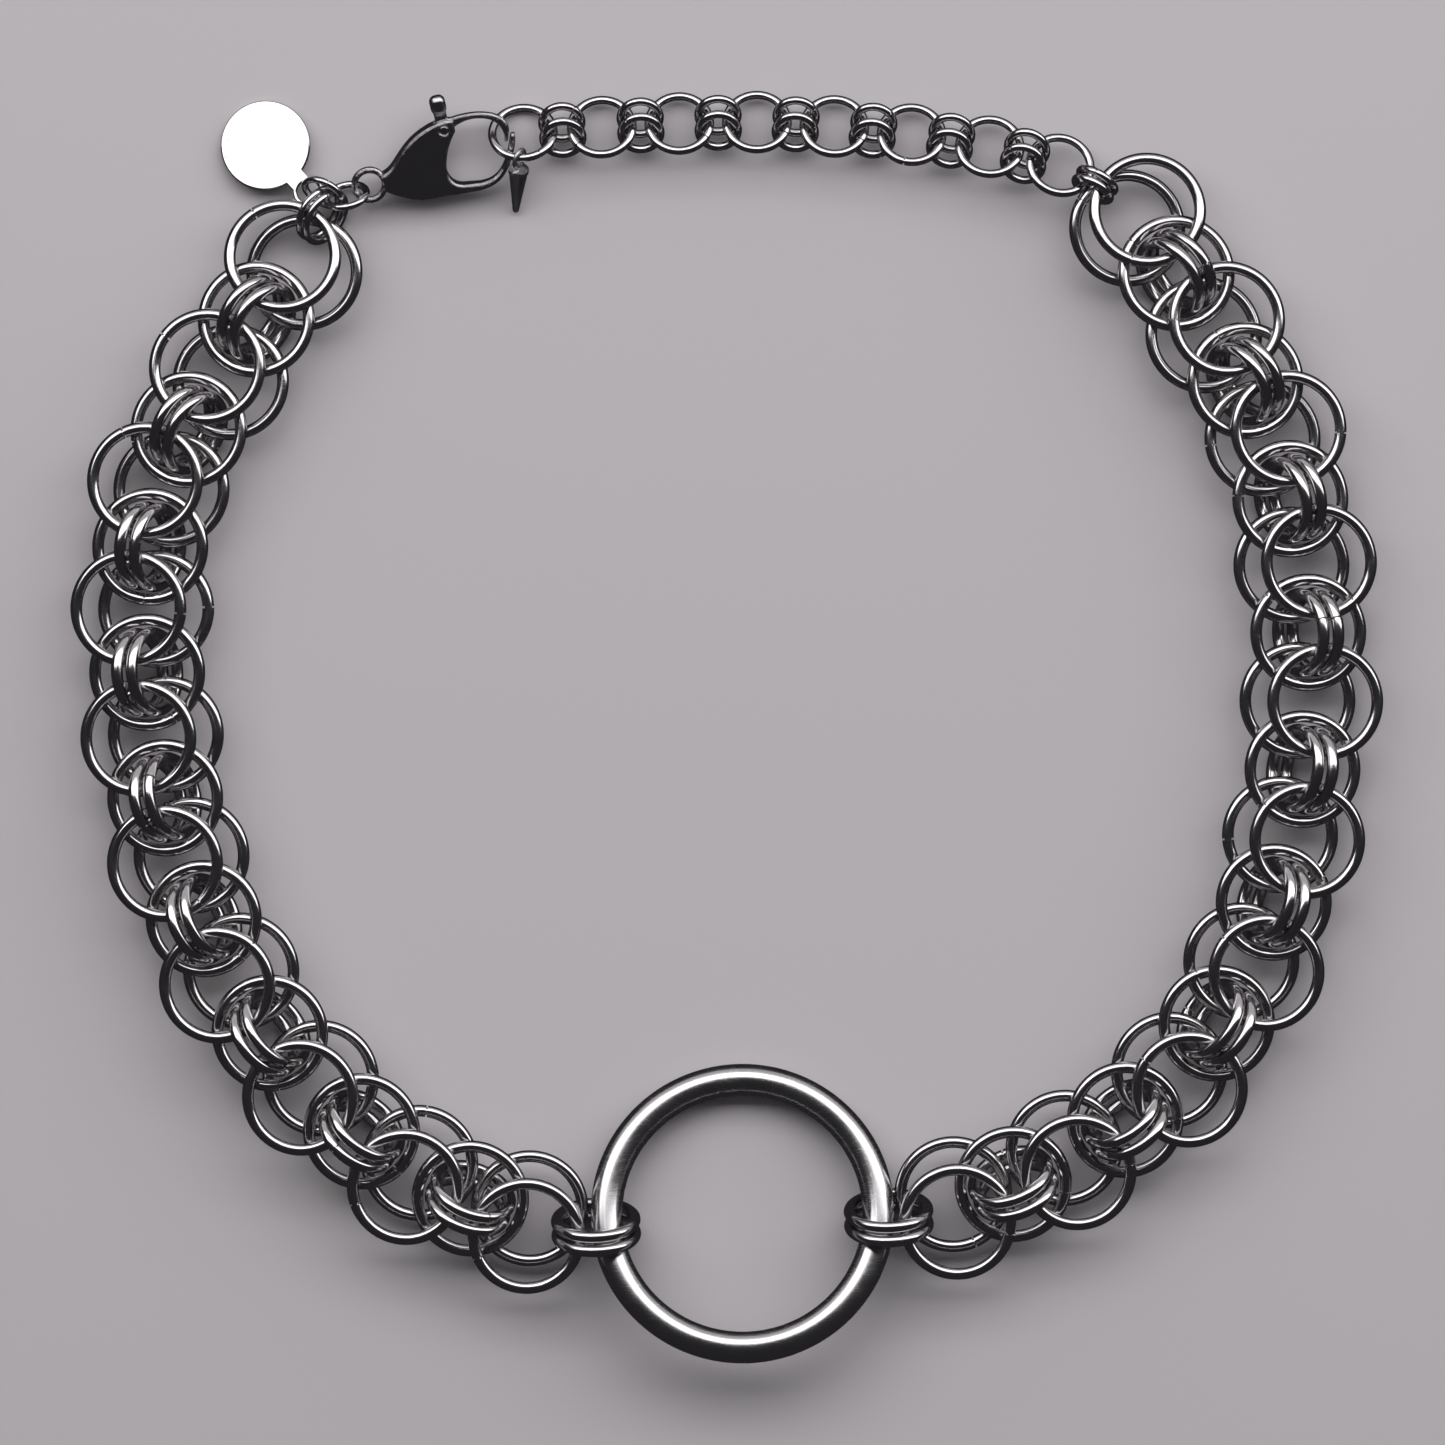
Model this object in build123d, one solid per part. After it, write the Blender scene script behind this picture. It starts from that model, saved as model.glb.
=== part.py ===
from build123d import *
import math
import os
from dataclasses import dataclass

# Millimetres. The necklace lies on a surface, seen from above: +X to the right, +Y towards
# the clasp, +Z up. The chains are laid out around the middle of the neck opening first, and
# everything is moved together at the end.

# Wire rings of the two strands
WIRE = 1.5
WIDE_RADIUS = 6.62
NARROW_RADIUS = 4.87

# Rings of the extender
EXTENDER_WIRE = 1.05
EXTENDER_WIDE_RADIUS = 3.85
EXTENDER_NARROW_RADIUS = 2.45

# Finest rings, at the clasp end
FINE_WIRE = 0.9
FINE_WIDE_RADIUS = 3.4
FINE_NARROW_RADIUS = 2.56

# Big welded ring at the centre front
CENTRE_RADIUS = 17.0
CENTRE_WIRE = 4.0

# Running clearances
LINK_GAP = 0.28
PAIR_CLEARANCE = 0.19
EXTENDER_CLEARANCE = 0.3
JOINT_CLEARANCE = 0.15

# How the weave lies
LAYER = WIRE + LINK_GAP
SHEAR = 1.45
WIDE_TILT = 10.0
LEAN = 36.0
PAIR_GAP = WIRE + PAIR_CLEARANCE
PAIR_SLIP = 0.8
EXTENDER_TILT = 28.0
EXTENDER_LEAN = 56.0
EXTENDER_PAIR_GAP = EXTENDER_WIRE + EXTENDER_CLEARANCE
EXTENDER_PAIR_SLIP = 1.4

# Height of the surface in the layout
SURFACE = -0.62

# Middle of each pair of wide rings, from the clasp end down to the centre ring
LEFT_UNITS = (
    (-53.63, 57.27, 3.9), (-62.95, 43.51, 4.58), (-70.53, 29.71, 4.67),
    (-72.53, 14.24, 4.82), (-71.3, -1.7, 4.67), (-68.03, -17.11, 4.85),
    (-61.67, -31.94, 4.89), (-51.5, -45.66, 4.83), (-38.75, -56.55, 4.54),
    (-24.31, -62.45, 4.31),
)
RIGHT_UNITS = (
    (51.84, 62.9, 3.87), (61.59, 49.4, 4.61), (69.12, 36.1, 4.7),
    (72.83, 19.85, 4.73), (73.6, 2.69, 4.41), (71.39, -14.37, 4.73),
    (66.42, -30.54, 4.7), (57.11, -44.64, 4.61), (43.57, -54.69, 4.65),
    (29.11, -60.68, 4.48),
)
# Middle of each single ring of the extender, from the clasp to the right strand
EXTENDER_UNITS = (
    (-24.95, 73.7, 2.35), (-15.09, 74.41, 2.54), (-5.4, 74.87, 2.55),
    (4.3, 75.04, 2.55), (13.99, 74.5, 2.62), (23.63, 73.47, 2.76),
    (33.41, 71.966, 3.116), (42.221, 69.642, 3.724),
)
LEFT = -1
RIGHT = 1

# The first wide pair of a strand closes towards its free end
END_LAYER = 1.42
END_CLOSING = 5.2

# Centre ring and the pairs that hold it
CENTRE_RING_AT = (2.5, -61.4, 4.42)
CENTRE_RING_DIP = 10.2
CENTRE_JOINT_SHIFT = 0.24
CENTRE_JOINT_DROP = 1.0
CENTRE_JOINT_HEIGHT = 4.68
CENTRE_JOINT_LEAN = 25.7
CENTRE_JOINT_SLIP = 0.51

# Ends of the extender
HOOKED_TILT = 36.0
RIGHT_JOINT_AT = (46.558, 67.208, 4.058)
RIGHT_JOINT_HEADING = (0.926, -0.477, 0.172)
RIGHT_JOINT_LEAN = 21.4
RIGHT_JOINT_GAP = EXTENDER_WIRE + JOINT_CLEARANCE
RIGHT_JOINT_SLIP = 0.24

# Pair, clasp ring and tag ring at the left end
LEFT_JOINT_AT = (-50.048, 63.429, 2.936)
LEFT_JOINT_HEADING = (0.57, 0.822, -0.054)
LEFT_JOINT_LEAN = 34.3
LEFT_JOINT_GAP = FINE_WIRE + JOINT_CLEARANCE
LEFT_JOINT_SLIP = 0.3
CLASP_RING_AT = (-47.013, 65.833, 2.654)
CLASP_RING_HEADING = (0.971, 0.238, -0.005)
CLASP_RING_LEAN = -32.1
TAG_RING_AT = (-49.878, 66.214, 3.467)
TAG_RING_HEADING = (0.878, -0.479, 0.019)
TAG_RING_LEAN = 29.4

# Lobster clasp, laid out from the middle of its eye with X towards the hook
CLASP_EYE_AT = (-44.12, 67.21, 2.4)
CLASP_TURN = 13.3
CLASP_ROLL = 14.0
EYE_OUTER = 2.3
EYE_INNER = 1.55
EYE_THICK = 1.0
BODY_THICK = 2.6
NOSE_THICK = 1.0
TAPER_FROM = 9.5
TAPER_TO = 19.5
CLASP_TOP = (
    (1.6, 1.0), (2.9, 1.55), (4.4, 2.95), (6.5, 4.65), (8.6, 5.6), (10.6, 6.0), (12.0, 5.9),
)
CLASP_WINDOW = (
    (12.0, 4.4), (10.9, 2.9), (10.15, 1.2), (9.9, -0.9), (10.6, -2.15), (12.4, -2.7),
    (14.2, -2.87), (15.6, -2.5), (16.7, -1.55), (17.45, -0.4), (17.95, 0.6), (18.32, 1.5),
    (18.58, 2.3),
)
CLASP_OUTER = (
    (19.2, 2.3), (18.95, 1.1), (18.25, -0.5), (17.2, -2.1), (15.95, -3.2), (14.2, -3.75),
    (11.4, -3.65), (8.4, -3.4), (6.2, -3.25), (3.9, -2.4), (1.6, -1.0),
)

# Sprung gate of the clasp and the pin it turns on
PIVOT_AT = (10.6, 4.9)
PIN_RADIUS = 0.5
PIN_CLEARANCE = 0.05
GATE_THICK = 1.0
GATE_CLEARANCE = 0.1
BOSS_RADIUS = 1.25
GATE_OUTER = (
    (18.14, 1.45), (18.37, 2.2), (18.6, 3.2), (18.3, 4.2), (17.4, 5.1), (15.8, 5.8),
    (13.8, 6.1), (11.2, 6.0),
)
GATE_INNER = (
    (11.2, 4.4), (12.4, 5.0), (13.8, 5.3), (15.5, 5.1), (16.9, 4.4), (17.6, 3.3),
    (17.64, 1.5),
)
NECK_WIDTH = 1.6
THUMB_WIDTH = 2.0
THUMB_FROM = 6.8
THUMB_TO = 9.25

# Small round tag with an ear
TAG_AT = (-57.12, 72.12)
TAG_RADIUS = 5.6
TAG_THICK = 0.8
TAG_TILT = 9.5
EAR_AT = (-51.72, 66.25)
EAR_RADIUS = 1.9
EAR_HOLE = 1.4
EAR_NECK = 2.6

# Spike drop hung on the first ring of the extender
SPIKE_EYE_AT = (-25.4, 70.5, 4.48)
SPIKE_SLOPE = 34.5
SPIKE_DRIFT = 3.9
SPIKE_TWIST = 30.0
SPIKE_EYE_RADIUS = 1.15
SPIKE_EYE_WIRE = 0.55
COLLAR_RADIUS = 1.28
COLLAR_FROM = 1.2
COLLAR_TO = 2.05
COLLAR_CHAMFER = 0.3
CONE_RADIUS = 1.2
TIP_RADIUS = 0.42
TIP_AT = 7.7


@dataclass(frozen=True)
class Ring:
    """One closed wire ring."""

    centre: Vector
    normal: Vector
    radius: float
    wire: float


@dataclass(frozen=True)
class Station:
    """A place on a chain: along it, outward from the neck and up."""

    at: Vector
    along: Vector
    out: Vector
    up: Vector


def station(at: Vector, heading: Vector, side: int) -> Station:
    """Frame at a point of a chain that runs towards heading."""
    along = heading.normalized()
    out = Vector(-side * along.Y, side * along.X, 0).normalized()
    return Station(at, along, out, along.cross(out) * side)


def leaned(place: Station, degrees: float) -> Vector:
    """Upward direction that leans outward by the angle."""
    turn = math.radians(degrees)
    return place.out * math.sin(turn) + place.up * math.cos(turn)


def across(place: Station, degrees: float) -> Vector:
    """Outward direction that dips by the angle, square to the leaned one."""
    turn = math.radians(degrees)
    return place.out * math.cos(turn) - place.up * math.sin(turn)


def pair_of_narrow(
    place: Station, radius: float, wire: float, lean: float, gap: float, slip: float
) -> list[Ring]:
    """Two rings side by side that stand across the chain and lean outward."""
    normal = across(place, lean)
    shift = normal * (gap / 2) + leaned(place, lean) * (slip / 2)
    return [
        Ring(place.at + shift, normal, radius, wire),
        Ring(place.at - shift, normal, radius, wire),
    ]


def wide_pair(place: Station, layer: float, closing: float) -> list[Ring]:
    """Upper and lower wide ring, sheared outward, closing towards the free end if asked."""
    up = leaned(place, WIDE_TILT)
    shift = across(place, WIDE_TILT) * SHEAR + up * layer
    turn = math.radians(closing)
    rise = up * math.cos(turn)
    slope = place.along * math.sin(turn)
    return [
        Ring(place.at + shift, rise - slope, WIDE_RADIUS, WIRE),
        Ring(place.at - shift, rise + slope, WIDE_RADIUS, WIRE),
    ]


def strand(units: tuple, side: int, before: Vector) -> list[Ring]:
    """Wide pairs, captive rings and narrow pairs from the clasp end to the last unit."""
    points = [Vector(*unit) for unit in units]
    rings = []
    reach = [before, *points, Vector(*CENTRE_RING_AT)]
    for index, at in enumerate(points):
        behind = reach[index]
        ahead = reach[index + 2]
        place = station(at, ahead - behind, side)
        if index:
            rings += wide_pair(place, LAYER, 0)
        else:
            rings += wide_pair(place, END_LAYER, END_CLOSING)
    for behind, ahead in zip(points, points[1:]):
        place = station((behind + ahead) / 2, ahead - behind, side)
        rings.append(Ring(place.at, leaned(place, WIDE_TILT), WIDE_RADIUS, WIRE))
        rings += pair_of_narrow(place, NARROW_RADIUS, WIRE, LEAN, PAIR_GAP, PAIR_SLIP)
    return rings


def centre_joint(units: tuple, side: int) -> list[Ring]:
    """Narrow pair between the last unit and the centre ring."""
    unit = Vector(*units[-1])
    hub = Vector(*CENTRE_RING_AT)
    heading = Vector(hub.X - unit.X, hub.Y - unit.Y, 0).normalized()
    near_wire = hub - heading * CENTRE_RADIUS
    unit_wire = unit + heading * WIDE_RADIUS
    at = (near_wire + unit_wire) / 2 + heading * CENTRE_JOINT_SHIFT
    at += station(at, heading, side).out * CENTRE_JOINT_DROP
    at = Vector(at.X, at.Y, CENTRE_JOINT_HEIGHT)
    place = station(at, heading, side)
    return pair_of_narrow(
        place, NARROW_RADIUS, WIRE, CENTRE_JOINT_LEAN, PAIR_GAP, CENTRE_JOINT_SLIP
    )


def extender(after: Vector) -> list[Ring]:
    """Single fine rings joined by fine pairs, the last pair holding the right strand."""
    points = [Vector(*unit) for unit in EXTENDER_UNITS]
    rings = []
    for index, at in enumerate(points):
        behind = points[max(index - 1, 0)]
        ahead = points[index + 1] if index + 1 < len(points) else after
        place = station(at, ahead - behind, RIGHT)
        tilt = EXTENDER_TILT if index else HOOKED_TILT
        rings.append(Ring(at, leaned(place, tilt), EXTENDER_WIDE_RADIUS, EXTENDER_WIRE))
    for behind, ahead in zip(points, points[1:]):
        place = station((behind + ahead) / 2, ahead - behind, RIGHT)
        rings += pair_of_narrow(
            place,
            EXTENDER_NARROW_RADIUS,
            EXTENDER_WIRE,
            EXTENDER_LEAN,
            EXTENDER_PAIR_GAP,
            EXTENDER_PAIR_SLIP,
        )
    place = station(Vector(*RIGHT_JOINT_AT), Vector(*RIGHT_JOINT_HEADING), RIGHT)
    rings += pair_of_narrow(
        place,
        EXTENDER_NARROW_RADIUS,
        EXTENDER_WIRE,
        RIGHT_JOINT_LEAN,
        RIGHT_JOINT_GAP,
        RIGHT_JOINT_SLIP,
    )
    return rings


def left_joint() -> list[Ring]:
    """Finer pair that ends the left strand."""
    place = station(Vector(*LEFT_JOINT_AT), Vector(*LEFT_JOINT_HEADING), RIGHT)
    return pair_of_narrow(
        place, FINE_WIDE_RADIUS, FINE_WIRE, LEFT_JOINT_LEAN, LEFT_JOINT_GAP, LEFT_JOINT_SLIP
    )


def lone_ring(at: tuple, heading: tuple, lean: float) -> Ring:
    """Small ring on its own that stands across the chain."""
    place = station(Vector(*at), Vector(*heading), RIGHT)
    return Ring(place.at, across(place, lean), FINE_NARROW_RADIUS, FINE_WIRE)


def centre_ring() -> Ring:
    """Big ring at the front, its upper arc resting on the surface."""
    turn = math.radians(CENTRE_RING_DIP)
    normal = Vector(0, math.sin(turn), math.cos(turn))
    return Ring(Vector(*CENTRE_RING_AT), normal, CENTRE_RADIUS, CENTRE_WIRE)


def torus(ring: Ring) -> Part:
    """Solid wire ring."""
    return Plane(origin=ring.centre, z_dir=ring.normal) * Torus(ring.radius, ring.wire / 2)


def clasp_plane() -> Plane:
    """Middle plane of the clasp, its origin at the eye and its X towards the hook."""
    turn = math.radians(CLASP_TURN)
    roll = math.radians(CLASP_ROLL)
    nose = Vector(math.cos(turn), math.sin(turn), 0)
    side = Vector(-math.sin(turn), math.cos(turn), 0)
    face = Vector(0, 0, 1) * math.cos(roll) - side * math.sin(roll)
    return Plane(origin=Vector(*CLASP_EYE_AT), x_dir=nose, z_dir=face)


def clasp_body() -> Part:
    """Eye, body and hook in one piece, slotted for the gate and bored for its pin."""
    edges = [
        Spline(*CLASP_TOP),
        Line(CLASP_TOP[-1], CLASP_WINDOW[0]),
        Spline(*CLASP_WINDOW),
        Line(CLASP_WINDOW[-1], CLASP_OUTER[0]),
        Spline(*CLASP_OUTER),
        Line(CLASP_OUTER[-1], CLASP_TOP[0]),
    ]
    blank = extrude(make_face(edges), BODY_THICK / 2, both=True)
    side = Polyline(
        (0, BODY_THICK / 2),
        (TAPER_FROM, BODY_THICK / 2),
        (TAPER_TO, NOSE_THICK / 2),
        (TAPER_TO, -NOSE_THICK / 2),
        (TAPER_FROM, -BODY_THICK / 2),
        (0, -BODY_THICK / 2),
        close=True,
    )
    taper = extrude(Plane.XZ * make_face(side), TAPER_TO, both=True)
    body = blank & taper
    eye = Cylinder(EYE_OUTER, EYE_THICK)
    body = body + eye
    body = body - Cylinder(EYE_INNER, BODY_THICK)
    pivot = Pos(*PIVOT_AT)
    slot_thick = GATE_THICK + 2 * GATE_CLEARANCE
    body -= pivot * Cylinder(BOSS_RADIUS + GATE_CLEARANCE, slot_thick)
    left = NECK_WIDTH / 2 + GATE_CLEARANCE
    reach = 2 * BOSS_RADIUS
    body -= pivot * Pos((reach - left) / 2, reach / 2) * Box(reach + left, reach, slot_thick)
    body -= pivot * Pos(reach / 2, 0) * Box(reach, 2 * BOSS_RADIUS, slot_thick)
    body -= pivot * Cylinder(PIN_RADIUS, 2 * BODY_THICK)
    return clasp_plane() * body


def clasp_gate() -> Part:
    """Curved gate with its boss, neck and thumb tab."""
    arm = make_face(
        [
            Spline(*GATE_OUTER),
            Line(GATE_OUTER[-1], GATE_INNER[0]),
            Spline(*GATE_INNER),
            Line(GATE_INNER[-1], GATE_OUTER[0]),
        ]
    )
    neck_length = THUMB_FROM - PIVOT_AT[1] + NECK_WIDTH / 2
    neck = Pos(PIVOT_AT[0], PIVOT_AT[1] + neck_length / 2) * Rectangle(NECK_WIDTH, neck_length)
    flat = arm + Pos(*PIVOT_AT) * Circle(BOSS_RADIUS) + neck
    gate = extrude(flat, GATE_THICK / 2, both=True)
    thumb_length = THUMB_TO - THUMB_FROM
    thumb = Box(THUMB_WIDTH, thumb_length, THUMB_WIDTH)
    thumb = fillet(thumb.edges(), 0.4 * THUMB_WIDTH)
    gate += Pos(PIVOT_AT[0], (THUMB_FROM + THUMB_TO) / 2) * thumb
    gate -= Pos(*PIVOT_AT) * Cylinder(PIN_RADIUS + PIN_CLEARANCE, BODY_THICK)
    return clasp_plane() * gate


def clasp_pin() -> Part:
    """Pin pressed through both cheeks of the body."""
    return clasp_plane() * Pos(*PIVOT_AT) * Cylinder(PIN_RADIUS, BODY_THICK)


def tag_plane() -> Plane:
    """Middle plane of the tag, X towards its ear, the far edge on the surface."""
    turn = math.radians(TAG_TILT)
    towards = Vector(EAR_AT[0] - TAG_AT[0], EAR_AT[1] - TAG_AT[1], 0).normalized()
    height = SURFACE + TAG_RADIUS * math.sin(turn) + TAG_THICK / 2 * math.cos(turn)
    rising = towards * math.cos(turn) + Vector(0, 0, math.sin(turn))
    face = Vector(0, 0, math.cos(turn)) - towards * math.sin(turn)
    return Plane(origin=Vector(*TAG_AT, height), x_dir=rising, z_dir=face)


def tag() -> Part:
    """Disc with an ear and a hole for its ring."""
    reach = math.hypot(EAR_AT[0] - TAG_AT[0], EAR_AT[1] - TAG_AT[1])
    ear = Pos(reach, 0) * Circle(EAR_RADIUS)
    neck = Pos(reach / 2, 0) * Rectangle(reach, EAR_NECK)
    hole = Pos(reach, 0) * Circle(EAR_HOLE)
    flat = Circle(TAG_RADIUS) + neck + ear - hole
    return tag_plane() * extrude(flat, TAG_THICK / 2, both=True)


def spike() -> Part:
    """Cone with a collar and an eye, its tip close to the surface."""
    turn = math.radians(SPIKE_SLOPE)
    drift = math.radians(SPIKE_DRIFT)
    level = Vector(-math.sin(drift), -math.cos(drift), 0)
    down = level * math.cos(turn) - Vector(0, 0, math.sin(turn))
    across_it = Vector(math.cos(drift), -math.sin(drift), 0)
    eye_plane = Plane(origin=Vector(*SPIKE_EYE_AT), x_dir=down, z_dir=across_it)
    eye = Rot(SPIKE_TWIST, 0, 0) * Torus(SPIKE_EYE_RADIUS, SPIKE_EYE_WIRE / 2)
    outline = Polyline(
        (COLLAR_FROM, 0),
        (COLLAR_FROM, SPIKE_EYE_WIRE),
        (COLLAR_FROM + COLLAR_CHAMFER, COLLAR_RADIUS),
        (COLLAR_TO, COLLAR_RADIUS),
        (COLLAR_TO, CONE_RADIUS),
        (TIP_AT, TIP_RADIUS),
        (TIP_AT, 0),
        close=True,
    )
    cone = revolve(make_face(outline), Axis.X)
    return eye_plane * (eye + cone + Pos(TIP_AT, 0) * Sphere(TIP_RADIUS))


def rings_of(rings: list[Ring]) -> Compound:
    """Loose wire rings held as one node."""
    return Compound(children=[torus(ring) for ring in rings])


def nodes() -> dict[str, Compound]:
    """Every node in the layout of the chains."""
    left = strand(LEFT_UNITS, LEFT, Vector(*LEFT_JOINT_AT))
    left += centre_joint(LEFT_UNITS, LEFT)
    left += left_joint()
    right = strand(RIGHT_UNITS, RIGHT, Vector(*RIGHT_JOINT_AT))
    right += centre_joint(RIGHT_UNITS, RIGHT)
    return {
        "centre_ring": torus(centre_ring()),
        "left_chain": rings_of(left),
        "right_chain": rings_of(right),
        "extender_chain": rings_of(extender(Vector(*RIGHT_UNITS[0]))),
        "clasp_body": clasp_body(),
        "clasp_lever": clasp_gate(),
        "clasp_pin": clasp_pin(),
        "clasp_ring": torus(lone_ring(CLASP_RING_AT, CLASP_RING_HEADING, CLASP_RING_LEAN)),
        "tag_ring": torus(lone_ring(TAG_RING_AT, TAG_RING_HEADING, TAG_RING_LEAN)),
        "tag": tag(),
        "spike_charm": spike(),
    }


def main() -> None:
    """Move the layout onto the origin and write one file per node."""
    made = nodes()
    box = made["centre_ring"].bounding_box()
    for shape in made.values():
        box = box.add(shape.bounding_box())
    shift = Pos(-(box.min.X + box.max.X) / 2, -(box.min.Y + box.max.Y) / 2, -box.min.Z)
    os.makedirs("parts", exist_ok=True)
    for name, shape in made.items():
        export_step(shift * shape, f"parts/{name}.step")
    print("moved by", tuple(shift.position), "size", tuple(box.size))


if __name__ == "__main__":
    main()
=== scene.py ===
"""Chainmail necklace of polished steel rings, laid out on a pale board and seen from above."""

from __future__ import annotations

import logging
import math
import random
from dataclasses import dataclass, field
from enum import Enum

import bpy
import numpy as np
from mathutils import Matrix, Vector


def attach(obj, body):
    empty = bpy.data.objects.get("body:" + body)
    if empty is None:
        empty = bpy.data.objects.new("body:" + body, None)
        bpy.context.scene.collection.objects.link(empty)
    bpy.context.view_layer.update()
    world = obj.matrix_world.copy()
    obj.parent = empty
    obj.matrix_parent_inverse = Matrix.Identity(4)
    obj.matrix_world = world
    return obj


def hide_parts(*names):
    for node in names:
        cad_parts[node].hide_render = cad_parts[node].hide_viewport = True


LOG = logging.getLogger("necklace")
MM = 0.001
NECKLACE = "necklace"
LEVER = "lever"

# The photograph is square and shows this much of the surface.
PHOTO_PIXELS = 1445
MM_PER_PIXEL = 0.125
PHOTO_CENTRE_MM = (-0.5345, 0.5835)

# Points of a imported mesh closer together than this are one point.
MERGE_MM = 0.002

# Wire at least this thick counts as the strands', and as the centre ring's.
STRAND_WIRE_MM = 1.2
THICK_WIRE_MM = 3.0

# The photograph's seams are met within this distance, by turns of one degree.
SEAM_REACH_MM = 0.6
SEAM_STEPS = 360

# Where the photograph shows saw cuts, in millimetres on the board.
LEFT_SEAMS = ((-72.35, -12.5), (-58.35, -22.6), (-66.2, -22.2))
RIGHT_SEAMS = ((42.15, 60.64),)
EXTENDER_SEAMS = ((-18.4, 73.3), (-2.41, 74.2))


class Gauge(Enum):
    """Wire that the rings are bent from."""

    STRAND = "strand"
    FINE = "fine"
    THICK = "thick"


class Smoothing(Enum):
    """Angle up to which neighbouring faces shade as one, in degrees."""

    ROUND = 60.0
    CRISP = 32.0


def linear(code: str) -> tuple[float, float, float, float]:
    """Turn an sRGB hex colour into linear RGBA.

    Args:
        code: Six hex digits with a leading hash.

    Returns:
        Linear red, green, blue and a full alpha.
    """
    parts = [int(code[i : i + 2], 16) / 255 for i in (1, 3, 5)]
    curve = [p / 12.92 if p <= 0.04045 else ((p + 0.055) / 1.055) ** 2.4 for p in parts]
    return (curve[0], curve[1], curve[2], 1.0)


def add_node(
    tree: bpy.types.NodeTree,
    kind: str,
    settings: dict[str, object] | None = None,
    links: dict[str, bpy.types.NodeSocket] | None = None,
) -> bpy.types.Node:
    """Add one shader node, with its values set and its inputs linked.

    Args:
        tree: The material's node tree.
        kind: The node's type name.
        settings: Attribute or input names with their values.
        links: Input names with the sockets that feed them.

    Returns:
        The new node.
    """
    node = tree.nodes.new(kind)
    for name, value in (settings or {}).items():
        if hasattr(node, name):
            setattr(node, name, value)
        else:
            node.inputs[name].default_value = value
    for name, socket in (links or {}).items():
        tree.links.new(socket, node.inputs[name])
    return node


def pick_nothing() -> None:
    """Leave edit mode and deselect every object."""
    if bpy.context.mode != "OBJECT":
        bpy.ops.object.mode_set(mode="OBJECT")
    bpy.ops.object.select_all(action="DESELECT")


def pick(*pieces: bpy.types.Object) -> None:
    """Select only these pieces.

    Args:
        pieces: The pieces, the first one to be active.
    """
    pick_nothing()
    for piece in pieces:
        piece.select_set(True)
    bpy.context.view_layer.objects.active = pieces[0]


def edit_all(piece: bpy.types.Object) -> None:
    """Open a piece in edit mode with everything selected.

    Args:
        piece: The piece.
    """
    pick(piece)
    bpy.ops.object.mode_set(mode="EDIT")
    bpy.ops.mesh.select_all(action="SELECT")


def close_edit() -> None:
    """Go back to object mode."""
    bpy.ops.object.mode_set(mode="OBJECT")


def smooth(piece: bpy.types.Object, kind: Smoothing) -> None:
    """Shade a piece smooth up to an angle."""
    pick(piece)
    bpy.ops.object.shade_smooth_by_angle(angle=math.radians(kind.value))


def add_torus(radius: float, wire: float, turns: int, sides: int) -> bpy.types.Object:
    """Add a ring of round wire, flat at the origin.

    Args:
        radius: From the ring's centre to the middle of the wire.
        wire: Thickness of the wire.
        turns: Steps round the ring.
        sides: Steps round the wire.

    Returns:
        The ring.
    """
    pick_nothing()
    bpy.ops.mesh.primitive_torus_add(
        major_radius=radius,
        minor_radius=wire / 2,
        major_segments=turns,
        minor_segments=sides,
    )
    return bpy.context.object


def bake_place(piece: bpy.types.Object) -> None:
    """Move a piece's place, turn and scale into its mesh, the selection with it."""
    bpy.context.view_layer.objects.active = piece
    bpy.ops.object.transform_apply(location=True, rotation=True, scale=True)


def copy_of_node(name: str, title: str) -> bpy.types.Object:
    """Copy a CAD node's mesh as a piece of its own, with its doubled points merged.

    Args:
        name: The CAD node.
        title: Name of the new piece.

    Returns:
        The merged copy, at the origin.
    """
    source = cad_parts[name]
    piece = bpy.data.objects.new(title, source.data.copy())
    bpy.context.scene.collection.objects.link(piece)
    piece.data.materials.clear()
    edit_all(piece)
    bpy.ops.mesh.remove_doubles(threshold=MERGE_MM * MM)
    close_edit()
    return piece


@dataclass(frozen=True)
class RingPlace:
    """Where one wire ring lies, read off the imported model."""

    centre: Vector
    normal: Vector
    radius: float
    wire: float

    @property
    def gauge(self) -> Gauge:
        """Wire gauge that the ring is bent from."""
        if self.wire > THICK_WIRE_MM * MM:
            return Gauge.THICK
        return Gauge.STRAND if self.wire > STRAND_WIRE_MM * MM else Gauge.FINE

    def matrix(self, turn: float) -> Matrix:
        """Give the placement of a ring modelled flat at the origin.

        Args:
            turn: Angle that its saw cut is turned by, about its own axis.

        Returns:
            The placement.
        """
        lie = self.normal.to_track_quat("Z", "Y").to_matrix().to_4x4()
        return Matrix.Translation(self.centre) @ lie @ Matrix.Rotation(turn, 4, "Z")


def ring_places(node: str) -> list[RingPlace]:
    """Measure every loose ring of a CAD node.

    Args:
        node: Name of a node made of wire rings only.

    Returns:
        One place per ring, sorted from left to right, then from front to back, then upwards.
    """
    whole = copy_of_node(node, f"{node}_measure")
    edit_all(whole)
    bpy.ops.mesh.separate(type="LOOSE")
    close_edit()
    places = []
    for part in list(bpy.context.selected_objects):
        count = len(part.data.vertices)
        flat = np.empty(count * 3)
        part.data.vertices.foreach_get("co", flat)
        points = flat.reshape(-1, 3)
        centre = points.mean(axis=0)
        spread = points - centre
        normal = np.linalg.svd(spread, full_matrices=False)[2][2]
        if normal[2] < 0:
            normal = -normal
        height = spread @ normal
        across = np.linalg.norm(spread - np.outer(height, normal), axis=1)
        places.append(
            RingPlace(
                centre=Vector(centre),
                normal=Vector(normal),
                radius=float(across.max() + across.min()) / 2,
                wire=float(across.max() - across.min()),
            )
        )
        bpy.data.objects.remove(part, do_unlink=True)
    places.sort(key=lambda p: (round(p.centre.x, 5), round(p.centre.y, 5), p.centre.z))
    return places


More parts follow.
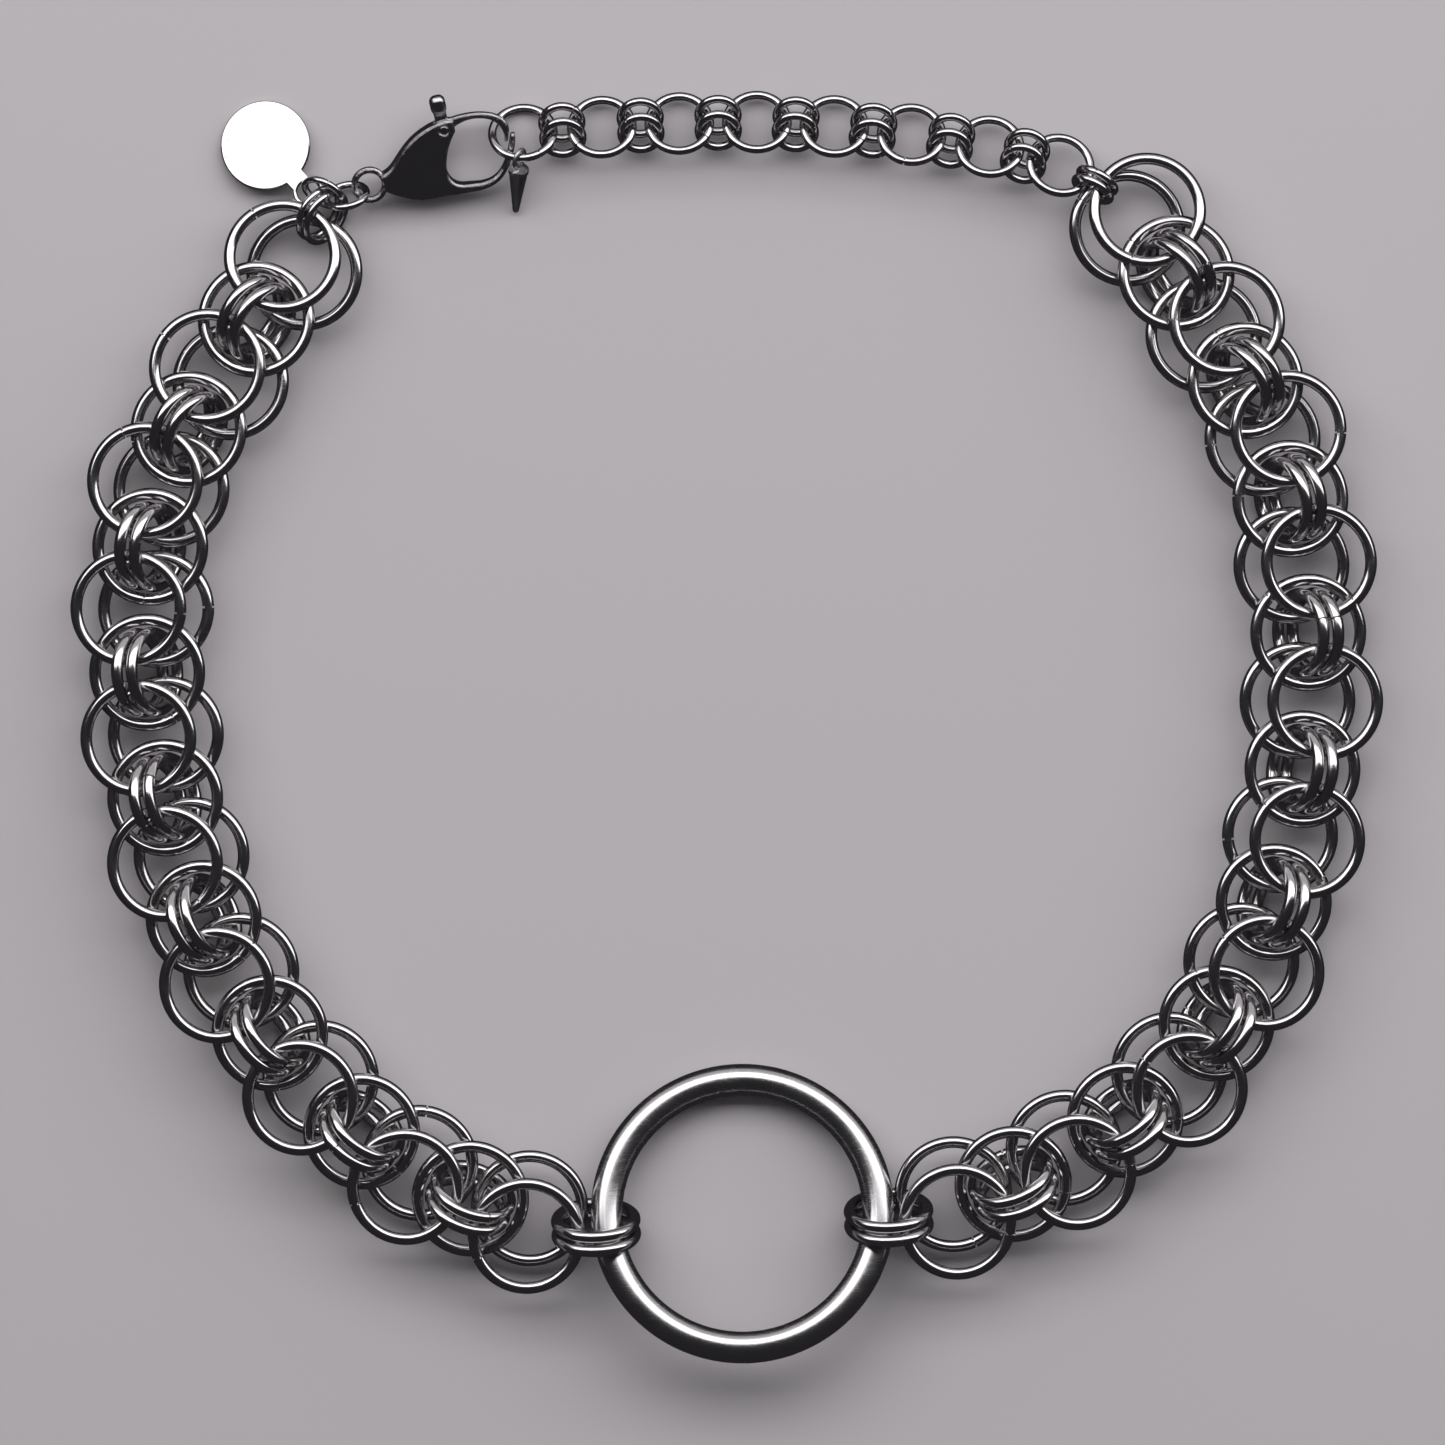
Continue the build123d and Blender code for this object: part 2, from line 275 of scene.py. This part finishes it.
@dataclass(frozen=True)
class PolishedSteel:
    """Stainless steel, tumbled to a polish: it mirrors a dark room and one crisp line of light.

    Handling leaves a slow wander in its gloss, a faint unevenness and hairline scratches. The
    scratches are drawn several times as wide as real ones, so that they show at all. Castings
    also shade as if their edges were rounded by edge_mm.
    """

    title: str = "polished_stainless_steel"
    colour: str = "#c4c1c3"
    roughness: float = 0.13
    haze: float = 0.06
    grain_mm: float = 3.0
    dent_mm: float = 2.2
    dent: float = 0.03
    dent_depth_mm: float = 0.1
    scratch_mm: float = 9.0
    scratch_share: float = 0.004
    scratch: float = 0.05
    scratch_depth_mm: float = 0.02
    scratch_turns: tuple[float, float] = (0.5, 2.1)
    scratch_stretch: float = 7.0
    pit_mm: float = 0.0
    pit_edge: tuple[float, float] = (0.03, 0.06)
    pit_colour: str = "#4a4848"
    edge_mm: float = 0.0

    def build(self) -> bpy.types.Material:
        """Make the material.

        Returns:
            The material.
        """
        material = bpy.data.materials.new(self.title)
        material.use_nodes = True
        tree = material.node_tree
        shader = tree.nodes["Principled BSDF"]
        shader.inputs["Metallic"].default_value = 1.0
        shader.inputs["Base Color"].default_value = linear(self.colour)
        place = add_node(tree, "ShaderNodeTexCoord").outputs["Object"]
        scratches = self._scratches(tree, place)
        tree.links.new(self._gloss(tree, place, scratches), shader.inputs["Roughness"])
        tree.links.new(self._relief(tree, place, scratches), shader.inputs["Normal"])
        if self.pit_mm > 0:
            self._pit(tree, place, shader)
        return material

    def _scratches(
        self, tree: bpy.types.NodeTree, place: bpy.types.NodeSocket
    ) -> bpy.types.NodeSocket:
        """Draw hairlines in two directions, from the level lines of stretched noise.

        Args:
            tree: The material's node tree.
            place: Object coordinates.

        Returns:
            One on a scratch, zero beside it.
        """
        lines = []
        for turn in self.scratch_turns:
            lie = add_node(tree, "ShaderNodeMapping", links={"Vector": place})
            lie.inputs["Rotation"].default_value = (turn / 2, 0.0, turn)
            lie.inputs["Scale"].default_value = (1.0, self.scratch_stretch, 1.0)
            noise = add_node(
                tree,
                "ShaderNodeTexNoise",
                {"Scale": 1 / (self.scratch_mm * MM), "Detail": 1.0},
                {"Vector": lie.outputs["Vector"]},
            )
            off = add_node(tree, "ShaderNodeMath", {"operation": "SUBTRACT"})
            tree.links.new(noise.outputs["Fac"], off.inputs[0])
            off.inputs[1].default_value = 0.5
            size = add_node(tree, "ShaderNodeMath", {"operation": "ABSOLUTE"})
            tree.links.new(off.outputs[0], size.inputs[0])
            lines.append(
                add_node(
                    tree,
                    "ShaderNodeMapRange",
                    {
                        "From Min": 0.0,
                        "From Max": self.scratch_share,
                        "To Min": 1.0,
                        "To Max": 0.0,
                    },
                    {"Value": size.outputs[0]},
                ).outputs["Result"]
            )
        both = add_node(tree, "ShaderNodeMath", {"operation": "MAXIMUM"})
        tree.links.new(lines[0], both.inputs[0])
        tree.links.new(lines[1], both.inputs[1])
        return both.outputs[0]

    def _gloss(
        self,
        tree: bpy.types.NodeTree,
        place: bpy.types.NodeSocket,
        scratches: bpy.types.NodeSocket,
    ) -> bpy.types.NodeSocket:
        """Let the gloss wander, duller on the scratches.

        Args:
            tree: The material's node tree.
            place: Object coordinates.
            scratches: One on a scratch.

        Returns:
            The roughness.
        """
        wander = add_node(
            tree,
            "ShaderNodeTexNoise",
            {"Scale": 1 / (self.grain_mm * MM), "Detail": 3.0},
            {"Vector": place},
        )
        gloss = add_node(
            tree,
            "ShaderNodeMapRange",
            {
                "From Min": 0.3,
                "From Max": 0.7,
                "To Min": self.roughness,
                "To Max": self.roughness + self.haze,
            },
            {"Value": wander.outputs["Fac"]},
        )
        dull = add_node(tree, "ShaderNodeMath", {"operation": "MULTIPLY_ADD"})
        tree.links.new(scratches, dull.inputs[0])
        dull.inputs[1].default_value = self.scratch
        tree.links.new(gloss.outputs["Result"], dull.inputs[2])
        return dull.outputs[0]

    def _relief(
        self,
        tree: bpy.types.NodeTree,
        place: bpy.types.NodeSocket,
        scratches: bpy.types.NodeSocket,
    ) -> bpy.types.NodeSocket:
        """Add the faint unevenness, sink the scratches and round the edges' shading.

        Args:
            tree: The material's node tree.
            place: Object coordinates.
            scratches: One on a scratch.

        Returns:
            The surface normal.
        """
        uneven = add_node(
            tree,
            "ShaderNodeTexNoise",
            {"Scale": 1 / (self.dent_mm * MM), "Detail": 1.0},
            {"Vector": place},
        )
        slow = add_node(
            tree,
            "ShaderNodeBump",
            {"Strength": self.dent, "Distance": self.dent_depth_mm * MM},
            {"Height": uneven.outputs["Fac"]},
        )
        if self.edge_mm > 0:
            edge = add_node(tree, "ShaderNodeBevel", {"Radius": self.edge_mm * MM})
            tree.links.new(edge.outputs["Normal"], slow.inputs["Normal"])
        return add_node(
            tree,
            "ShaderNodeBump",
            {
                "Strength": self.scratch,
                "Distance": self.scratch_depth_mm * MM,
                "invert": True,
            },
            {"Height": scratches, "Normal": slow.outputs["Normal"]},
        ).outputs["Normal"]

    def _pit(
        self,
        tree: bpy.types.NodeTree,
        place: bpy.types.NodeSocket,
        shader: bpy.types.Node,
    ) -> None:
        """Scatter tiny dark pits over the face.

        Args:
            tree: The material's node tree.
            place: Object coordinates.
            shader: The surface shader.
        """
        cells = add_node(
            tree,
            "ShaderNodeTexVoronoi",
            {"Scale": 1 / (self.pit_mm * MM)},
            {"Vector": place},
        )
        clear = add_node(
            tree,
            "ShaderNodeMapRange",
            {"From Min": self.pit_edge[0], "From Max": self.pit_edge[1]},
            {"Value": cells.outputs["Distance"]},
        )
        tone = add_node(
            tree,
            "ShaderNodeMix",
            {"data_type": "RGBA"},
            {"Factor": clear.outputs["Result"]},
        )
        tone.inputs[6].default_value = linear(self.pit_colour)
        tone.inputs[7].default_value = linear(self.colour)
        tree.links.new(tone.outputs[2], shader.inputs["Base Color"])


@dataclass(frozen=True)
class BoardFinish:
    """Matt pale grey board that the necklace lies on."""

    title: str = "matt_grey_board"
    colour: str = "#c6c1c5"
    roughness: float = 0.9
    sheen: float = 0.2

    def build(self) -> bpy.types.Material:
        """Make the material.

        Returns:
            The material.
        """
        material = bpy.data.materials.new(self.title)
        material.use_nodes = True
        shader = material.node_tree.nodes["Principled BSDF"]
        shader.inputs["Base Color"].default_value = linear(self.colour)
        shader.inputs["Roughness"].default_value = self.roughness
        shader.inputs["Specular IOR Level"].default_value = self.sheen
        return material


@dataclass(frozen=True)
class RingGrain:
    """How finely a gauge of ring is meshed, and how wide and deep its saw cut is."""

    turns: int
    sides: int
    cut_mm: float
    cut_depth_mm: float


@dataclass
class RingForm:
    """One size of wire ring, bent round and closed on a saw cut, modelled once and copied.

    The faces next to the cut are sliced out to slice_share of the radius. The cut's own faces
    are picked with a little slack.
    """

    radius: float
    wire: float
    grain: RingGrain
    slice_share: float = 0.3
    slack: float = 1.01

    def build(self, title: str) -> bpy.types.Object:
        """Model the ring flat at the origin, its saw cut on +X.

        Args:
            title: Name of the piece.

        Returns:
            The ring.
        """
        ring = add_torus(self.radius, self.wire, self.grain.turns, self.grain.sides)
        ring.name = title
        half = self.grain.cut_mm * MM / 2
        for side in (-half, half):
            self._slice(ring, side)
        self._pick_faces(ring, half * self.slack, whole=True)
        bpy.ops.mesh.extrude_region_shrink_fatten(
            TRANSFORM_OT_shrink_fatten={"value": -self.grain.cut_depth_mm * MM}
        )
        close_edit()
        smooth(ring, Smoothing.ROUND)
        return ring

    def _slice(self, ring: bpy.types.Object, offset: float) -> None:
        """Cut the faces next to +X by a plane across the wire.

        Args:
            ring: The ring.
            offset: How far from the X axis the plane lies.
        """
        self._pick_faces(ring, self.radius * self.slice_share)
        bpy.ops.mesh.bisect(plane_co=(self.radius, offset, 0), plane_no=(0, 1, 0))
        close_edit()

    @staticmethod
    def _pick_faces(ring: bpy.types.Object, reach: float, whole: bool = False) -> None:
        """Open edit mode with the faces near +X selected.

        Args:
            ring: The ring.
            reach: How far from the X axis the faces may lie.
            whole: True if every point of a face has to lie within reach.
        """
        pick(ring)
        bpy.ops.object.mode_set(mode="EDIT")
        bpy.ops.mesh.select_mode(type="FACE")
        bpy.ops.mesh.select_all(action="DESELECT")
        close_edit()
        points = ring.data.vertices
        for face in ring.data.polygons:
            spots = [points[i].co for i in face.vertices]
            if whole:
                near = all(abs(p.y) <= reach for p in spots)
            else:
                near = abs(face.center.y) <= reach
            face.select = near and face.center.x > 0
        bpy.ops.object.mode_set(mode="EDIT")


@dataclass
class Chain:
    """A run of wire rings that shares one CAD node."""

    node: str
    finish: bpy.types.Material
    seed: int
    strand: RingGrain = RingGrain(turns=72, sides=20, cut_mm=0.24, cut_depth_mm=0.3)
    fine: RingGrain = RingGrain(turns=56, sides=16, cut_mm=0.2, cut_depth_mm=0.22)
    seams: tuple[tuple[float, float], ...] = ()
    forms: dict[tuple[int, int], bpy.types.Object] = field(default_factory=dict)

    def _form(self, place: RingPlace) -> bpy.types.Object:
        """Find or model the ring form that fits a place.

        Args:
            place: The ring.

        Returns:
            A form of the same size, to the tenth of a millimetre.
        """
        key = (round(place.radius / MM * 10), round(place.wire / MM * 10))
        if key not in self.forms:
            grain = self.fine if place.gauge is Gauge.FINE else self.strand
            form = RingForm(place.radius, place.wire, grain)
            self.forms[key] = form.build(f"{self.node}_form_{len(self.forms)}")
        return self.forms[key]

    def _turns(self, places: list[RingPlace]) -> list[float]:
        """Choose where every ring's saw cut lies.

        Args:
            places: The rings.

        Returns:
            One angle per ring: at a seam that the photograph shows, or else anywhere.
        """
        draws = random.Random(self.seed)
        turns = [draws.uniform(0, 2 * math.pi) for _ in places]
        for seam in self.seams:
            spot = Vector(seam) * MM
            met = []
            for index, place in enumerate(places):
                for step in range(SEAM_STEPS):
                    turn = math.radians(step * 360 / SEAM_STEPS)
                    on_wire = place.matrix(turn) @ Vector((place.radius, 0, 0))
                    if (on_wire.xy - spot).length < SEAM_REACH_MM * MM:
                        met.append((on_wire.z, index, turn))
            if met:
                _, index, turn = max(met)
                turns[index] = turn
        return turns

    def build(self) -> bpy.types.Object:
        """Copy the forms to every place, join them and ride the necklace.

        Returns:
            The finished chain.
        """
        rings = []
        places = ring_places(self.node)
        for place, turn in zip(places, self._turns(places)):
            form = self._form(place)
            ring = form.copy()
            ring.data = form.data.copy()
            bpy.context.scene.collection.objects.link(ring)
            ring.matrix_world = place.matrix(turn)
            rings.append(ring)
        pick(*rings)
        bpy.ops.object.join()
        chain = bpy.context.object
        bake_place(chain)
        chain.name = f"{self.node}_rings"
        for form in self.forms.values():
            bpy.data.objects.remove(form, do_unlink=True)
        dress(chain, self.finish, self.node)
        LOG.info("%s: %d rings", self.node, len(places))
        return chain


def dress(piece: bpy.types.Object, finish: bpy.types.Material, *nodes: str) -> None:
    """Give a piece its finish and let it stand for its CAD nodes.

    Args:
        piece: The finished piece.
        finish: Its material.
        nodes: The CAD nodes that it replaces; the first one names its slot.
    """
    piece.data.materials.clear()
    piece.data.materials.append(finish)
    body = LEVER if nodes[0] == "clasp_lever" else NECKLACE
    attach(piece, body)
    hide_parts(*nodes)


@dataclass
class CentreRing:
    """The thick ring at the centre front."""

    finish: bpy.types.Material
    turns: int = 240
    sides: int = 56

    def build(self) -> bpy.types.Object:
        """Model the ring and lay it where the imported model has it.

        Returns:
            The finished ring.
        """
        place = ring_places("centre_ring")[0]
        ring = add_torus(place.radius, place.wire, self.turns, self.sides)
        ring.name = "centre_ring_polished"
        ring.matrix_world = place.matrix(0.0)
        pick(ring)
        bake_place(ring)
        smooth(ring, Smoothing.ROUND)
        dress(ring, self.finish, "centre_ring")
        LOG.info("centre ring: %.1f mm across", 2 * place.radius / MM + place.wire / MM)
        return ring


@dataclass
class Casting:
    """A cast, stamped or turned piece with its edges as polishing has left them.

    Where mesh_mm is given, the piece is rebuilt in even small faces and relaxed that many
    times, which rounds every edge alike. Where bevel_mm is given, only its sharp edges are
    bevelled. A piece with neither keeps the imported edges.
    """

    node: str
    title: str
    finish: bpy.types.Material
    bevel_mm: float = 0.0
    bevel_steps: int = 4
    sharp_deg: float = 40.0
    mesh_mm: float = 0.0
    relaxed: int = 0
    relax_share: float = 0.5
    flat_deg: float = 1.5

    def build(self) -> bpy.types.Object:
        """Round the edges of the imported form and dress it.

        Returns:
            The finished piece.
        """
        piece = copy_of_node(self.node, self.title)
        edit_all(piece)
        bpy.ops.mesh.dissolve_limited(angle_limit=math.radians(self.flat_deg))
        bpy.ops.mesh.normals_make_consistent(inside=False)
        close_edit()
        if self.mesh_mm > 0:
            self._tumble(piece)
        smooth(piece, Smoothing.CRISP)
        if self.bevel_mm > 0:
            self._bevel(piece)
        dress(piece, self.finish, self.node)
        LOG.info("%s: %d faces", self.title, len(piece.data.polygons))
        return piece

    def _tumble(self, piece: bpy.types.Object) -> None:
        """Rebuild the piece in even small faces and relax them.

        Args:
            piece: The piece.
        """
        remesh = piece.modifiers.new("even_faces", "REMESH")
        remesh.mode = "VOXEL"
        remesh.voxel_size = self.mesh_mm * MM
        relax = piece.modifiers.new("worn_edges", "SMOOTH")
        relax.factor = self.relax_share
        relax.iterations = self.relaxed
        pick(piece)
        for modifier in (remesh, relax):
            bpy.ops.object.modifier_apply(modifier=modifier.name)

    def _bevel(self, piece: bpy.types.Object) -> None:
        """Bevel every sharp edge.

        Args:
            piece: The piece.
        """
        bevel = piece.modifiers.new("worn_edges", "BEVEL")
        bevel.width = self.bevel_mm * MM
        bevel.segments = self.bevel_steps
        bevel.limit_method = "ANGLE"
        bevel.angle_limit = math.radians(self.sharp_deg)
        bevel.harden_normals = True
        pick(piece)
        bpy.ops.object.modifier_apply(modifier=bevel.name)


@dataclass(frozen=True)
class StudioLight:
    """A soft box that points at a place on the board."""

    title: str
    at: tuple[float, float, float]
    aim: tuple[float, float, float]
    width: float
    depth: float
    power: float
    mirrored: bool = True

    def build(self) -> None:
        """Hang the light and turn it towards its aim, its width kept along X."""
        lamp = bpy.data.lights.new(self.title, "AREA")
        lamp.shape = "RECTANGLE"
        lamp.size = self.width
        lamp.size_y = self.depth
        lamp.energy = self.power
        holder = bpy.data.objects.new(self.title, lamp)
        bpy.context.scene.collection.objects.link(holder)
        holder.location = self.at
        away = (Vector(self.at) - Vector(self.aim)).normalized()
        side = Vector((1, 0, 0))
        up = away.cross(side).normalized()
        side = up.cross(away)
        holder.rotation_mode = "QUATERNION"
        turn = Matrix((side, up, away)).transposed()
        holder.rotation_quaternion = turn.to_quaternion()
        holder.visible_glossy = self.mirrored


@dataclass
class Studio:
    """Pale board, lights, dim surroundings and the camera straight above."""

    centre: Vector
    height: float = 1.2
    board_size: float = 6.0
    far: float = 50.0
    surroundings: str = "#2c2b2d"
    lights: tuple[StudioLight, ...] = (
        StudioLight("strip_behind", (0.9, 0.75, 1.0), (0.9, 0.0, 0.0), 5.0, 0.8, 34.0),
        StudioLight("pale_lid", (0.3, 1.7, 0.75), (0.0, 0.0, 0.1), 6.0, 1.5, 16.0),
        StudioLight("tag_card", (-0.255, 0.285, 0.85), (-0.055, 0.07, 0.0), 0.1, 0.1, 0.08),
        StudioLight("soft_fill", (0.0, 0.3, 1.6), (0.0, 0.0, 0.0), 2.0, 2.0, 2.0, mirrored=False),
    )

    def build(self) -> None:
        """Set up everything that isn't the necklace."""
        self._lay_board()
        for light in self.lights:
            light.build()
        self._dim_room()
        self._aim_camera()
        LOG.info("studio: %d lights", len(self.lights))

    def _lay_board(self) -> None:
        """Lay the board under the necklace.

        The photograph was lit by a lamp that travels with the sensor, so the metal mirrors a
        board that is still in the dark. Here the board isn't mirrored at all.
        """
        pick_nothing()
        bpy.ops.mesh.primitive_plane_add(size=self.board_size)
        board = bpy.context.object
        board.name = "board"
        board.data.materials.append(BoardFinish().build())
        board.visible_glossy = False

    def _dim_room(self) -> None:
        """Give the metal a dim even room to mirror."""
        world = bpy.data.worlds.new("room")
        world.use_nodes = True
        room = world.node_tree.nodes["Background"]
        room.inputs["Color"].default_value = linear(self.surroundings)
        bpy.context.scene.world = world

    def _aim_camera(self) -> None:
        """Look straight down with parallel rays, as wide as the photograph."""
        data = bpy.data.cameras.new("camera")
        data.type = "ORTHO"
        data.ortho_scale = PHOTO_PIXELS * MM_PER_PIXEL * MM
        data.clip_end = self.far
        camera = bpy.data.objects.new("camera", data)
        bpy.context.scene.collection.objects.link(camera)
        camera.location = self.centre + Vector((0, 0, self.height))
        bpy.context.scene.camera = camera
        bpy.context.scene.view_settings.view_transform = "Standard"


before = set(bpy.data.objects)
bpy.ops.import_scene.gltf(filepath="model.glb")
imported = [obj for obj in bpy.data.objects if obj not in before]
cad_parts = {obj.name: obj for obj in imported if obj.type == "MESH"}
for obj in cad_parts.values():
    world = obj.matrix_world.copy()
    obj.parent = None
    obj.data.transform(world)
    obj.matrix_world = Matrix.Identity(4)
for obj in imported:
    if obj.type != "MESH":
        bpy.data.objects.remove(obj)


def main() -> None:
    """Build the necklace piece by piece, then the studio."""
    logging.basicConfig(level=logging.INFO, format="%(name)s: %(message)s")
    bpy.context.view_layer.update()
    steel = PolishedSteel().build()
    satin = PolishedSteel(
        title="satin_stainless_steel",
        roughness=0.2,
        scratch_mm=6.0,
        scratch=0.08,
    ).build()
    cast = PolishedSteel(
        title="cast_stainless_steel",
        roughness=0.08,
        haze=0.05,
        scratch_mm=7.0,
        scratch=0.03,
        edge_mm=0.55,
    ).build()
    mirror = PolishedSteel(
        title="mirror_stainless_steel",
        roughness=0.06,
        haze=0.02,
        dent=0.0,
        scratch=0.0,
        pit_mm=1.9,
    ).build()
    turned = PolishedSteel(
        title="turned_stainless_steel",
        colour="#b4b2b6",
        roughness=0.34,
        scratch_mm=2.0,
        edge_mm=0.15,
    ).build()
    Chain("left_chain", steel, seed=3, seams=LEFT_SEAMS).build()
    Chain("right_chain", steel, seed=5, seams=RIGHT_SEAMS).build()
    Chain("extender_chain", steel, seed=7, seams=EXTENDER_SEAMS).build()
    Chain("clasp_ring", steel, seed=11).build()
    Chain("tag_ring", steel, seed=13).build()
    CentreRing(satin).build()
    Casting("clasp_body", "clasp_body_cast", cast, mesh_mm=0.09, relaxed=24).build()
    Casting("clasp_lever", "clasp_lever_stamped", cast, mesh_mm=0.06, relaxed=16).build()
    Casting("clasp_pin", "clasp_pin_turned", mirror, bevel_mm=0.08).build()
    Casting("tag", "tag_stamped", mirror, bevel_mm=0.2).build()
    Casting("spike_charm", "spike_turned", turned).build()
    Studio(centre=Vector((PHOTO_CENTRE_MM[0] * MM, PHOTO_CENTRE_MM[1] * MM, 0.0))).build()


if __name__ == "__main__":
    main()
